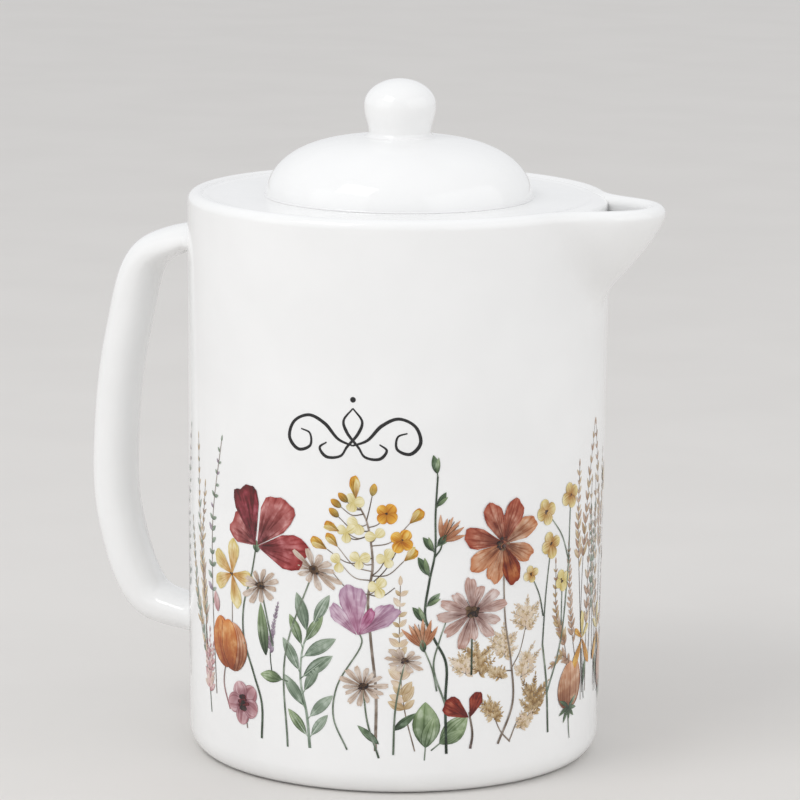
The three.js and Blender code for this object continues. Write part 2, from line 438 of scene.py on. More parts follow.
def catmull_rom(points, per_span):
    """A smooth curve through 2-D points, with the ends carried on straight."""
    points = np.array(points, float)
    points = np.vstack([2 * points[0] - points[1], points, 2 * points[-1] - points[-2]])
    curve = []
    for p0, p1, p2, p3 in zip(points, points[1:], points[2:], points[3:]):
        gaps = [math.sqrt(np.linalg.norm(b - a)) for a, b in ((p0, p1), (p1, p2), (p2, p3))]
        t = np.concatenate([[0], np.cumsum(gaps)])

        def mix(a, b, i, j):
            """a at knot i, b at knot j, and straight in between."""
            return ((t[j] - u) * a + (u - t[i]) * b) / (t[j] - t[i])

        for u in np.linspace(t[1], t[2], per_span, endpoint=False):
            early, middle, late = mix(p0, p1, 0, 1), mix(p1, p2, 1, 2), mix(p2, p3, 2, 3)
            curve.append(mix(mix(early, middle, 0, 2), mix(middle, late, 1, 3), 1, 2))
    curve.append(points[-2])
    return np.array(curve)


def ease(value, low, high):
    """0 up to low, 1 from high, smooth in between."""
    t = min(max((value - low) / (high - low), 0), 1)
    return t * t * (3 - 2 * t)


def handle_section(travel, grow=0.0):
    """The loop's section at a share of its length, enlarged all round by grow."""
    top, middle, foot = INSIDE_FULLNESS
    widens = ease(travel, 0, 0.28)
    narrows = ease(travel, 0.75, 1)
    fullness = top + (middle - top) * widens + (foot - middle) * narrows
    t = np.linspace(0, 2 * math.pi, 40, endpoint=False)
    unit = np.column_stack([np.cos(t), np.sin(t)])
    half = HANDLE_HALF[0] + grow, HANDLE_HALF[1] + grow
    across, side = (np.sign(unit) * np.abs(unit) ** (2 / HANDLE_POWER) * half).T
    return np.where(across < 0, across * fullness, across), side


def loop_handle(glaze):
    """Loop handle: an oval section along its route, with both ends flared onto the wall."""
    route = catmull_rom(HANDLE_ROUTE, 12)
    tangent = np.gradient(route, axis=0)
    tangent /= np.linalg.norm(tangent, axis=1)[:, None]
    rows = []
    for (out, height), (t_out, t_up), travel in zip(route, tangent, np.linspace(0, 1, len(route))):
        across, side = handle_section(travel)
        rows.append(np.column_stack([-(out - t_up * across), side, height + t_out * across]))
    fillet = 4.5
    reach = 5.5  # how far from the wall the loop takes over
    steps = 9
    sunk = 0.03  # the fillet's edge is let into the wall

    def flare(travel, height, sign):
        """Rings from the wall out to the start of the loop."""
        rings = []
        # two rings inside the wall keep the closed end's shading away from the joint
        levels = [(-1.2, fillet + 0.7), (-0.1, fillet + 0.7)]
        for away in reach * (1 - np.cos(np.linspace(0, math.pi / 2, steps))):
            left = max(fillet - away, 0)
            levels.append((away, fillet - math.sqrt(max(fillet ** 2 - left ** 2, 0))))
        for away, grow in levels:
            across, side = handle_section(travel, grow)
            up = height + sign * across
            out = np.sqrt((wall_radius(up) + away - sunk) ** 2 - side ** 2)
            rings.append(np.column_stack([-out, side, up]))
        return rings

    top = flare(0, HANDLE_ROUTE[0][1], tangent[0][0])
    bottom = flare(1, HANDLE_ROUTE[-1][1], tangent[-1][0])
    # the loop's rings lean, so the ones that would cut into the flares are left out
    rows = top[:-1] + rows[3:-3] + bottom[::-1][1:]
    count = len(rows[0])
    faces = grid_faces(len(rows), count)
    faces.append(tuple(range(count)))
    faces.append(tuple((len(rows) - 1) * count + j for j in range(count)))
    return tidy(add_mesh("loop_handle", rows, faces, glaze))


# ---- Lid

def dome_height(radius, edge=LID_RADIUS, rise=DOME_TOP - SHOULDER_TOP):
    """Height of the dome above the ledge at a distance from its axis."""
    return rise * math.sqrt(max(0, 1 - (radius / edge) ** DOME_POWER))


def lid_dome(glaze):
    """Hollow dome with its rounded edge and the collar that drops into the mouth."""
    outer, inner, depth = COLLAR
    seat = SHOULDER_TOP + 0.02
    bottom = SHOULDER_TOP - depth
    soft = 0.9  # rounding of the collar's lower edges
    shares = [math.sin(t) for t in np.linspace(0, math.pi / 2, 40)]
    hollow = [(r, seat + dome_height(r, LID_RADIUS - LID_WALL, DOME_TOP - SHOULDER_TOP - LID_WALL))
              for r in (inner * s for s in shares[::2])]
    skirt = 0.5  # the glaze spreads a little where the dome meets the ledge
    outside = [(r, SHOULDER_TOP + dome_height(r)) for r in (LID_RADIUS * s for s in shares[::-1])]
    outside = [p for p in outside if p[1] > seat + skirt]
    profile = [
        *hollow,
        *arc((inner + soft, bottom + soft), soft, soft, 180, 270, 4),
        *arc((outer - soft, bottom + soft), soft, soft, 270, 360, 4),
        (outer, seat - 0.6), (outer + 0.6, seat),
        # short steps each side of the sharp edge keep its shading narrow
        (LID_RADIUS + skirt - 0.05, seat),
        *arc((LID_RADIUS + skirt, seat + skirt), skirt, skirt, 270, 263, 1),
        *arc((LID_RADIUS + skirt, seat + skirt), skirt, skirt, 252, 180, 5),
        *outside,
    ]
    return lathe("lid_dome", profile, glaze)


def button_knob(glaze):
    """Button knob whose neck flows into the dome."""
    foot = 1.4  # fillet between neck and dome
    neck_height = DOME_TOP + foot - 0.2
    radius = (KNOB_HIGH[1] - KNOB_LOW[1]) / 2
    flare = [(KNOB_NECK + foot * (1 - math.cos(t)), neck_height - foot * math.sin(t))
             for t in np.radians(np.linspace(90, 0, 9))]
    waist = [(KNOB_NECK + (radius - KNOB_NECK) * math.sin(math.pi / 2 * t) ** 1.5,
              neck_height + (KNOB_WIDEST_HEIGHT - neck_height) * t) for t in np.linspace(0, 1, 12)[1:]]
    crown = arc((0, KNOB_WIDEST_HEIGHT), radius, KNOB_TOP - KNOB_WIDEST_HEIGHT, 6, 90, 16)
    crown[-1] = (0, KNOB_TOP)
    under = DOME_TOP - 1.2  # the knob's own underside is hidden inside the dome
    profile = [(0, under), (flare[0][0] - 0.5, under), *flare, *waist, *crown]
    return lathe("button_knob", profile, glaze, 96)


# ---- Printed border: flat shapes drawn on the unrolled wall

FRONT = math.radians(-70)  # the meridian that faces the camera
PRINT_RADIUS = 59.5  # turns lengths along the wall into angles
BEAK_AT = math.radians(70) * PRINT_RADIUS
PAPER = np.array([0.88, 0.88, 0.87])  # the glaze's white, seen through thin colour


def pigment(red, green, blue):
    """Display values from 0 to 255, as the linear values that shaders use."""
    value = np.array([red, green, blue]) / 255
    return np.where(value <= 0.04045, value / 12.92, ((value + 0.055) / 1.055) ** 2.4)


def shades(*values):
    """The colours at a shape's root and at its tip."""
    return pigment(*values[:3]), pigment(*values[3:])


def heading(angle):
    """The direction at an angle in degrees, anticlockwise from u."""
    return np.array([math.cos(math.radians(angle)), math.sin(math.radians(angle))])


def squashed(tilt, amount):
    """A matrix that flattens a flower as if it were turned away, across the direction tilt."""
    along, across = heading(tilt), heading(tilt + 90)
    return np.outer(along, along) + amount * np.outer(across, across)


class Plant:
    """Patches of colour on the wall, where v is height and u runs round it from the front, in mm."""

    def __init__(self, seed, layer, mirrored):
        self.random = random.Random(seed)
        self.mirrored = mirrored
        self.lift = 0.03 + 0.035 * layer  # how far off the wall, in mm
        self.points, self.normals, self.colours, self.marks, self.faces = [], [], [], [], []

    def vary(self, value, share):
        """value, larger or smaller by up to a share of itself."""
        return value * (1 + self.random.uniform(-share, share))

    def patch(self, grid, colour, edge, vein):
        """A grid of (u, v) points. edge reaches 1 at the outline, and vein runs across the patch."""
        rows, columns = grid.shape[:2]
        u, v = grid[..., 0], grid[..., 1]
        # each patch lies above the one before it, and a large one by more
        self.lift += 0.001 + 0.0004 * min(max(np.ptp(u), np.ptp(v)), 12)
        if self.mirrored:
            u = 2 * BEAK_AT - u
        first = len(self.points)
        theta = FRONT + u / PRINT_RADIUS
        radius = wall_radius(v) + self.lift
        out = np.stack([np.cos(theta), np.sin(theta)], axis=-1)
        points = np.concatenate([out * radius[..., None], v[..., None]], axis=-1).reshape(-1, 3)
        self.points.extend(points)
        self.normals.extend(np.column_stack([out.reshape(-1, 2), np.zeros(rows * columns)]))
        self.colours.extend(np.broadcast_to(colour, (rows, columns, 3)).reshape(-1, 3))
        seed = self.random.uniform(0, 40)
        marks = np.broadcast_arrays(edge, vein, np.full((rows, columns), seed))
        self.marks.extend(np.stack(marks, axis=-1).reshape(-1, 3))
        du, dv = u[1:, 1:] - u[:-1, :-1], v[1:, 1:] - v[:-1, :-1]
        eu, ev = u[1:, :-1] - u[:-1, 1:], v[1:, :-1] - v[:-1, 1:]
        faces = grid_faces(rows, columns, False, first)
        turned = np.sum(du * ev - dv * eu) < 0
        self.faces.extend(face[::-1] if turned else face for face in faces)

    def petal(self, root, angle, length, spread, colours, roundness=0.4, notch=0.0, ruffle=0.03,
              form=None):
        """A petal that fans out from root. spread is the angle that it opens to each side."""
        s = np.linspace(0, 1, 9)[:, None]
        t = np.linspace(-1, 1, 13)[None, :]
        phase = self.random.uniform(0, 6.28)
        # round at the end, ruffled along it, and notched in its middle
        edge = length * np.cos(math.pi / 2 * t * 0.999) ** roundness
        edge = edge * (1 + ruffle * np.sin(5 * t + phase) + ruffle * 0.7 * np.sin(11 * t + 2 * phase))
        edge = edge * (1 - notch * np.exp(-(t / 0.22) ** 2))
        way = np.radians(angle + spread * t)
        offset = np.stack([s * edge * np.cos(way), s * edge * np.sin(way)], axis=-1)
        if form is not None:
            offset = offset @ form.T
        base, tip = colours
        shade = s[..., None] ** 1.2
        self.patch(np.array(root) + offset, base + (tip - base) * shade, s, 3 * t)

    def leaf(self, root, angle, length, width, colours, bend=0.0, widest=0.45, fullness=0.85):
        """A pointed leaf, or an oval petal where fullness is about 0.5. bend curves it sideways."""
        s = (1 - np.cos(np.linspace(0, math.pi, 13)[:, None])) / 2
        t = np.linspace(-1, 1, 7)[None, :]
        power = math.log(0.5) / math.log(widest)
        half = width / 2 * np.abs(np.sin(math.pi * s ** power)) ** fullness
        along, aside = heading(angle), heading(angle + 90)
        x, y = length * s + 0 * t, half * t + bend * length * s ** 2
        base, tip = colours
        grid = np.array(root) + x[..., None] * along + y[..., None] * aside
        self.patch(grid, base + (tip - base) * s[..., None], np.abs(t) + 0 * s, 1.5 * t + 0 * s)

    def stroke(self, route, widths, colours):
        """A stem or pen line through route, from its first width and colour to its last."""
        line = catmull_rom(route, 7)
        way = np.gradient(line, axis=0)
        way /= np.linalg.norm(way, axis=1)[:, None]
        s = np.linspace(0, 1, len(line))
        half = np.interp(s, np.linspace(0, 1, len(widths)), widths) / 2
        aside = np.column_stack([-way[:, 1], way[:, 0]]) * half[:, None]
        grid = np.stack([line - aside, line, line + aside], axis=1)
        base, tip = colours
        self.patch(grid, (base + (tip - base) * s[:, None])[:, None], 0.4, 0.2)
        return line, way

    def dab(self, centre, across, up, colour, angle=0.0):
        """A round dab of the brush."""
        s = np.linspace(0, 1, 4)[:, None]
        turn = np.linspace(0, 2 * math.pi, 13)[None, :]
        x, y = across * s * np.cos(turn), up * s * np.sin(turn)
        grid = np.array(centre) + x[..., None] * heading(angle) + y[..., None] * heading(angle + 90)
        self.patch(grid, colour, s * 0.9 + 0 * turn, 0.3 * s * np.cos(turn))

    def cluster(self, centre, radius, count, size, colours, form=None):
        """Dabs scattered round a point, such as the stamens in the middle of a flower."""
        for _ in range(count):
            away = radius * math.sqrt(self.random.random())
            offset = heading(self.random.uniform(0, 360)) * away
            if form is not None:
                offset = form @ offset
            dab = self.vary(size, 0.35)
            self.dab(np.array(centre) + offset, dab, dab * 0.8, self.random.choice(colours))

    def build(self, name, material):
        """The patches as one object, with the values that the print's shader reads."""
        obj = add_mesh(name, self.points, self.faces, material, self.normals)
        opaque = np.column_stack([self.colours, np.ones(len(self.colours))])
        tint = obj.data.attributes.new("pigment", "FLOAT_COLOR", "POINT")
        tint.data.foreach_set("color", opaque.ravel())
        marks = obj.data.attributes.new("marks", "FLOAT_VECTOR", "POINT")
        marks.data.foreach_set("vector", np.array(self.marks).ravel())
        return obj


STEM = shades(84, 98, 82, 118, 130, 110)
BROWN_STEM = shades(118, 104, 92, 142, 128, 114)
SAGE = shades(100, 118, 100, 164, 178, 160)
DEEP_GREEN = shades(48, 66, 50, 104, 126, 94)
FRESH_GREEN = shades(78, 98, 72, 156, 174, 134)
STRAW = shades(178, 152, 112, 222, 204, 174)
TAN = shades(148, 116, 72, 208, 184, 142)
WHEAT = shades(156, 120, 94, 204, 178, 156)
GOLD = shades(170, 112, 24, 222, 172, 68)
OLIVE = pigment(122, 104, 44)
PALE_GOLD = shades(198, 176, 100, 231, 218, 162)
YELLOW = GOLD[0], PALE_GOLD[1]
CREAM = shades(216, 202, 142, 236, 228, 190)
BURGUNDY = shades(92, 22, 30, 176, 76, 76)
BLUSH = pigment(188, 108, 104)
RUST = shades(102, 44, 26, 186, 110, 86)
APRICOT = shades(132, 72, 40, 214, 162, 126)
ORANGE = shades(144, 66, 22, 214, 138, 70)
DUSTY_PINK = shades(112, 72, 66, 210, 180, 170)
BEIGE = shades(134, 108, 90, 218, 200, 184)
MAUVE = shades(120, 60, 76, 192, 152, 156)
VIOLET = shades(148, 92, 120, 204, 178, 196)
LILAC = shades(130, 112, 130, 182, 168, 180)
ROSE = shades(176, 122, 126, 222, 190, 188)
PEACH = shades(132, 80, 48, 218, 172, 138)
RED = shades(96, 20, 12, 150, 56, 34)
DARK = pigment(44, 28, 26)
PALE_SEEDS = [(BEIGE[1], STRAW[1]), STRAW, (STRAW[1], BEIGE[1])]
SEED = pigment(88, 64, 42)
INK = pigment(22, 22, 24)


def poppy(p, u, v):
    """Four broad ruffled petals, seen a little from the side."""
    p.stroke([(u, 13), (u, 23), (u - 3, 31), (u - 7, 41), (u - 7, 50), (u - 4, 59), (u - 2, v - 5)],
             (0.75, 0.45), STEM)
    heart = np.array([u - 1.5, v - 5.5])
    p.leaf(heart + (-0.3, -1.6), 95, 3.4, 2.6, DEEP_GREEN)
    p.petal(heart + (-0.5, 0.5), 144, 12, 46, (BURGUNDY[0], BLUSH), 0.36, 0.03, 0.05)
    p.petal(heart + (-1, 1), 107, 17, 29, (BURGUNDY[0], BURGUNDY[0] * 2.2), 0.28, 0.04, 0.04)
    p.petal(heart + (0.2, 0.2), -2, 17, 35, BURGUNDY, 0.4, 0.06, 0.05)
    p.petal(heart + (0, 0.6), 55, 17.5, 34, (BURGUNDY[0], BLUSH), 0.38, 0.04, 0.04)


def star_flower(p, u, v):
    """Five narrow yellow petals on a fine stem."""
    p.stroke([(u, 40), (u, v - 4)], (0.3, 0.3), BROWN_STEM)
    for angle in (85, 150, 208, 285, 355):
        p.petal((u, v), angle, p.vary(9.6, 0.1), 27, (GOLD[0] * 1.2, PALE_GOLD[1]), 0.34)
    p.cluster((u, v), 0.7, 4, 0.35, [SEED, DARK])


def daisy(p, u, v, size, foot, turn, flat, petals, lean=0.0, colours=BEIGE, plump=0.46):
    """Pale ray petals round a dark eye, on a stem from foot."""
    middle = ((u + foot[0]) / 2 + lean, (v + foot[1]) / 2)
    p.stroke([foot, middle, (u, v)], (0.6, 0.4), STEM)
    form = squashed(turn, flat)
    order = [i * 360 / petals for i in range(petals)]
    p.random.shuffle(order)
    for angle in order:
        pale = colours[1] + (PAPER - colours[1]) * p.random.uniform(0, 0.25)
        way = turn + angle + p.random.uniform(-5, 5)
        p.petal((u, v), way, p.vary(size, 0.16), 360 / petals * plump, (colours[0], pale),
                0.32, 0.05, 0.03, form)
    for angle in range(0, 360, 36):
        way = heading(angle + p.random.uniform(-9, 9))
        tip = np.array([u, v]) + form @ (way * p.vary(size * 0.45, 0.3))
        p.stroke([(u, v), (tip + (u, v)) / 2, tip], (0.3, 0.12), (colours[0] * 0.35, colours[0] * 0.8))
    p.dab((u, v), size * 0.19, size * 0.15, SEED, turn)
    p.cluster((u, v), size * 0.2, 9, size * 0.07, [DARK, SEED], form)


def round_bud(p, u, v):
    """A half-opened orange flower: broad petals folded over each other."""
    p.stroke([(u + 2, 19), (u - 1, 26), (u, v - 6)], (0.5, 0.4), (ROSE[0], BROWN_STEM[1]))
    foot = np.array([u + 2, v - 7.5])
    p.leaf(foot + (2, -0.6), 92, 14, 11.5, APRICOT, 0.02, 0.5, 0.5)
    p.leaf(foot + (-1, 0), 118, 14.5, 9.5, ORANGE, -0.18, 0.55, 0.5)
    p.leaf(foot + (0.6, -0.3), 103, 14.2, 8.5, ORANGE, -0.1, 0.55, 0.5)
    p.stroke([foot, foot + (-3.4, 5), foot + (-3.8, 13)], (0.35, 0.25), (ORANGE[0] * 0.6, ORANGE[0]))


def feather(p, route, size, count, colours, slim=0.42, lean=32, start=0.3, width=0.4, stem=BROWN_STEM):
    """A stem with seeds or small leaves up both sides, from a share start of its length."""
    line, way = p.stroke(route, (width, width * 0.6), stem)
    ahead = [math.degrees(math.atan2(y, x)) for x, y in way]
    last = len(line) - 1
    floor = p.lift
    for i in range(count):
        share = (i + p.random.uniform(0, 0.7)) / count
        at = min(int((start + (1 - start) * share) * last), last)
        side = 1 if i % 2 else -1
        angle = ahead[at] + side * p.vary(lean, 0.3)
        length = p.vary(size, 0.25) * (1 - 0.55 * share)
        p.leaf(line[at], angle, length, length * slim, p.random.choice(colours), side * 0.06)
        if i % 8 == 7:
            p.lift = floor  # leaves this far apart don't overlap
    p.leaf(line[-1], ahead[-1], size * 0.6, size * slim * 0.5, colours[0])


def plume(p, root, lean, height, reach, colours, seeds=17):
    """A bushy feathered head whose top leans aside, with short branches up both sides."""
    u, v = root
    spine = [(u, v), (u + lean * 0.35, v + height * 0.5), (u + lean, v + height)]
    feather(p, spine, 2.1, seeds + 8, colours, 0.44, 44, 0.1, 0.3)
    floor = p.lift
    for side, share in ((1, 0.02), (-1, 0.1), (1, 0.24), (-1, 0.34), (1, 0.48), (-1, 0.56)):
        p.lift = floor
        start = (u + lean * share, v + height * share)
        end = (start[0] + side * reach * p.vary(1, 0.15) + lean * 0.3,
               start[1] + reach * p.vary(0.7, 0.3))
        middle = ((start[0] + end[0]) / 2, start[1] + reach * 0.25)
        feather(p, [start, middle, end], 1.9, seeds, colours, 0.44, 48, 0.05, 0.25)


def lobes(p, centre, count, length, colours, turn=0.0):
    """Round petals that overlap about a centre."""
    for i in range(count):
        angle = turn + i * 360 / max(count, 3) + p.random.uniform(-8, 8)
        p.leaf(centre, angle, p.vary(length, 0.1), p.vary(length * 0.95, 0.1), colours, 0, 0.58, 0.5)


def mauve_flower(p, u, v):
    """Five mauve petals with a dark red eye."""
    p.stroke([(u + 1.5, 15), (u + 1, v - 4)], (0.4, 0.4), BROWN_STEM)
    lobes(p, (u, v), 5, 6.3, (MAUVE[0], MAUVE[1] * 1.1), 50)
    p.cluster((u, v), 2.1, 26, 0.7, [BURGUNDY[0], BURGUNDY[0], DARK])


def umbel(p, u, v):
    """A branching spike of golden buds and pale blossoms, on side stems that curve upwards."""
    stem = [(u + 3, 13), (u + 3, 30), (u + 1.5, 44), (u + 0.6, 56), (u + 1.8, 65), (u + 1.4, 71),
            (u, 78), (u - 2, 82), (u - 3, v)]
    line, _ = p.stroke(stem, (0.85, 0.7, 0.35), BROWN_STEM)
    # where each side stem starts up the stem, where it ends, and what it carries there
    twigs = [(77, -2.4, 77, "pale"), (74, -5.6, 74.5, "pale"), (72, 2.7, 73.5, "pale"),
             (66, -1.9, 67, "pale"), (61, -7.5, 66, "pale"), (63, 5.5, 67.6, "pale"),
             (58, 3.2, 59.4, "pale"), (81, -3.8, 83, "pale"), (78, 1.5, 85, "small"),
             (81, -5.3, 83, "small"), (80, -7.1, 81.5, "small"), (75, -7.8, 78.7, "small"),
             (74, -7.6, 74.7, "bud"), (64, -8, 70.3, "bud"), (68, -11.1, 69.4, "bud"),
             (71, 11.8, 77.4, "bud"), (62, 10.4, 66.9, "bud"), (76, 5.6, 80, "gold"),
             (60, 9.8, 72.5, "gold"), (57, -9.5, 63, "bare"), (57, 8, 59.4, "bare")]
    floor = p.lift
    for start, across, up, kind in twigs:
        p.lift = floor
        root = line[np.argmin(np.abs(line[:, 1] - start))]
        tip = np.array([u + across, up])
        middle = (root + tip) / 2 - (0, 0.2 * abs(tip[0] - root[0]))
        p.stroke([root, middle, tip], (0.34, 0.24), BROWN_STEM)
        ahead = math.degrees(math.atan2(tip[1] - middle[1], tip[0] - middle[0]))
        if kind == "bud":
            p.petal(tip, ahead, p.vary(5.2, 0.1), 33, (OLIVE, GOLD[1]), 0.42)
            p.petal(tip, ahead + 11, p.vary(4.6, 0.1), 19, YELLOW, 0.5)
        elif kind == "small":
            p.leaf(tip, ahead, 3.6, 2.1, (OLIVE * 0.7, GOLD[1]), 0, 0.5, 0.6)
        elif kind == "gold":
            lobes(p, tip, 4, 3.5, (GOLD[0] * 1.2, GOLD[1] * 1.12), ahead)
            p.cluster(tip, 0.5, 4, 0.25, [SEED, GOLD[0]])
        elif kind == "pale":
            lobes(p, tip, p.random.choice((2, 3)), 3, CREAM, ahead)
    p.petal((u - 3, v), 95, 6.4, 27, (OLIVE, GOLD[1]), 0.36)
    p.petal((u - 3, v), 86, 5.6, 18, YELLOW, 0.5)


def tulip(p, u, v):
    """A purple crocus-like flower with spread outer petals."""
    p.stroke([(u - 3, 13), (u - 7, 22), (u - 6, 31), (u + 1, v - 8), (u, v - 5)], (0.5, 0.4), STEM)
    foot = np.array([u - 0.5, v - 6])
    p.petal(foot, 134, 11, 20, VIOLET, 0.34, 0.03, 0.04)
    p.petal(foot + (0.4, 0), 99, 14.5, 27, (VIOLET[0] * 1.25, VIOLET[1]), 0.24, 0.06, 0.04)
    p.petal(foot + (0.4, 0), 38, 13.5, 24, VIOLET, 0.3, 0.05, 0.05)
    p.petal(foot + (0.6, 0), 62, 8.5, 19, (VIOLET[0], VIOLET[0] * 1.7), 0.4)


def leafy_sprig(p, u, top):
    """A sage sprig with leaves in uneven pairs."""
    stem = [(u, 12.5), (u - 1, 22), (u - 3, 32), (u - 2, 42), (u + 1, top - 4)]
    line, _ = p.stroke(stem, (0.9, 0.4), SAGE)
    # how far up the stem each leaf starts, where it points and its length
    leaves = [(0.1, 55, 8), (0.1, 128, 9), (0.24, 47, 9.5), (0.3, 125, 10.5), (0.42, 62, 8.5),
              (0.5, 40, 11), (0.55, 118, 10), (0.66, 34, 11), (0.72, 112, 9), (0.78, 58, 9),
              (0.86, 104, 11), (0.98, 64, 9.5)]
    floor = p.lift
    for share, angle, length in leaves:
        p.lift = floor
        at = line[int(share * (len(line) - 1))]
        colours = FRESH_GREEN if length == 9 else SAGE
        colours = (colours[0] * 0.92, colours[1])
        p.stroke([at, at + heading(angle) * 1.8], (0.35, 0.3), SAGE)
        root = at + heading(angle) * 1.2
        p.leaf(root, angle, length, length * 0.34, colours, 0.05 if angle > 90 else -0.05, 0.5)
        p.stroke([root, root + heading(angle) * length * 0.8], (0.25, 0.1), (SAGE[1] * 1.1, SAGE[1]))


def broad_leaf(p, u, v, angle, length, width):
    """One broad leaf on a short stalk."""
    root = np.array([u, v])
    way = heading(angle)
    p.stroke([root - way * length * 0.28, root, root + way * length * 0.3], (0.4, 0.4), STEM)
    p.leaf(root, angle, length, width * 1.6, FRESH_GREEN, 0.08, 0.48)
    p.leaf(root + heading(angle + 90) * 0.1, angle - 9, length * 0.72, width * 0.8, FRESH_GREEN,
           -0.05, 0.4)


def budded_stem(p, u, top):
    """A tall dark stem with small pointed leaf buds, and a side shoot that crosses it."""
    route = [(u + 1, 12), (u + 0.5, 27), (u + 0.5, 38), (u - 3, 45), (u - 5.5, 51), (u - 4.5, 61),
             (u - 3, 69), (u - 3, 80), (u - 2.5, top)]
    line, _ = p.stroke(route, (0.8, 0.7, 0.5), (DEEP_GREEN[0], STEM[0]))
    # each bud's height, where it points and its length
    buds = [(49, 128, 5.5), (54, 42, 5), (62, 118, 6), (69, 124, 5), (70, 46, 5.4), (82, 55, 4.6),
            (top, 100, 5.4)]
    floor = p.lift
    for height, angle, length in buds:
        p.lift = floor
        at = line[np.argmin(np.abs(line[:, 1] - height))]
        p.stroke([at, at + heading(angle) * 1.5], (0.35, 0.35), STEM)
        p.leaf(at + heading(angle) * 0.8, angle, length, length * 0.42, DEEP_GREEN, 0.05)
        p.leaf(at + heading(angle) * 0.8, angle - 12, length * 0.85, length * 0.24, FRESH_GREEN, -0.04)
    p.stroke([(u + 0.5, 26), (u - 3, 37), (u - 1.5, 44), (u + 0.5, 50)], (0.6, 0.35), STEM)


def broad_flower(p, u, v):
    """A large open flower with eight rust and apricot petals."""
    stem = [(u - 0.7, 13.5), (u + 4, 24.6), (u + 3.3, 36), (u + 1, 49), (u, v)]
    p.stroke(stem, (0.7, 0.4), BROWN_STEM)
    heart = np.array([u, v])
    pale = APRICOT[0] * 1.2, APRICOT[1]
    warm = RUST[0], APRICOT[1]
    bright = RUST[0], ORANGE[0] * 1.3
    light = RUST[0] * 1.3, RUST[1]
    for angle, length, colours in ((252, 11.5, pale), (212, 12, pale), (335, 11, warm),
                                   (166, 12.6, RUST), (290, 12.4, bright), (112, 12.6, RUST),
                                   (28, 12.4, warm), (68, 13, light)):
        p.petal(heart, angle, length, 26, colours, 0.34, 0.03, 0.035)
        for aside in (-9, 0, 8):
            way = heading(angle + aside)
            p.stroke([heart + way, heart + way * 5, heart + way * p.vary(8, 0.2)], (0.28, 0.08),
                     (RUST[0] * 0.7, colours[1] * 0.7))
    p.cluster(heart, 1.8, 22, 0.5, [DARK, RUST[0] * 0.6, SEED])


def lobed_bud(p, u, v):
    """Two red lobes on a short brown stem."""
    p.stroke([(u + 1, 13), (u + 1.6, 17), (u + 0.5, v - 2.5)], (0.8, 0.5), (DARK, BROWN_STEM[0]))
    p.petal((u + 0.4, v - 4), 146, 8.6, 33, RED, 0.26)
    p.petal((u + 0.8, v - 4), 70, 7.4, 28, RED, 0.26)


def lily(p, u, v, size, angle, foot):
    """A small open trumpet of thin pointed petals."""
    p.stroke([foot, ((foot[0] + u) / 2 + 0.6, (foot[1] + v) / 2), (u, v)], (0.5, 0.4), STEM)
    for turn in (-52, 46, -30, 26, -10, 12):
        p.leaf((u, v), angle + turn, p.vary(size, 0.1), size * 0.21, APRICOT, -turn / 400)
    p.leaf(np.array([u, v]) - heading(angle) * 1.4, angle, size * 0.5, size * 0.26, DEEP_GREEN)
    for turn in (-14, 2, 16):
        tip = np.array([u, v]) + heading(angle + turn) * size * 0.9
        p.stroke([(u, v), tip], (0.2, 0.2), (SEED, SEED))


def small_flower(p, u, v, foot, size, colours=YELLOW):
    """A little four-petalled flower on a thread of a stem."""
    p.stroke([foot, ((foot[0] * 2 + u) / 3, (foot[1] + v) / 2), (u, v)], (0.5, 0.3), STEM)
    lobes(p, (u, v), 4, size, colours, 20)
    p.cluster((u, v), 0.6, 5, 0.3, [SEED, DARK])


def rose_bud(p, u, v):
    """A closed peach bud with a ragged green calyx."""
    foot = np.array([u, v])
    p.stroke([foot + (1, -9), foot + (0.4, -5), foot + (0, -1)], (0.35, 0.5), STEM)
    p.leaf(foot + (-1.5, 0), 92, 13, 8, PEACH, -0.1, 0.45, 0.6)
    p.leaf(foot + (1.5, 0), 78, 14, 8, PEACH, 0.05, 0.45, 0.6)
    p.leaf(foot + (0.2, -0.4), 86, 14, 7.5, (PEACH[0] * 1.1, PEACH[1]), 0.04, 0.42, 0.6)
    for angle in (200, 238, 275, 310, 345, 150, 30):
        p.leaf(foot + (0, 0.4), angle, p.vary(4.4, 0.2), 1.3, DEEP_GREEN, 0.05)


def nodding_flower(p, u, v):
    """A yellow flower that hangs its pointed petals, above two slim green leaves."""
    p.stroke([(u + 2, 20), (u + 1, 27), (u, v - 3)], (0.35, 0.3), STEM)
    for angle, length in ((92, 8), (40, 5.5), (145, 6), (235, 10), (300, 9)):
        p.petal((u, v), angle, length, 17, PALE_GOLD if angle < 100 else GOLD, 0.5)
    p.leaf((u + 1, 24), 80, 8, 1.6, DEEP_GREEN)


def lavender(p, u, v, top):
    """A slim lilac spike with a long leaf beside it."""
    route = [(u + 1, v - 8), (u, v), (u + 1, (v + top) / 2), (u + 2.5, top)]
    feather(p, route, 1.9, 30, [LILAC, LILAC], 0.55, 24, 0.35, 0.4, STEM)
    p.leaf((u - 1.5, v - 1), 101, 15, 3.8, (DEEP_GREEN[0], FRESH_GREEN[1]), -0.06)


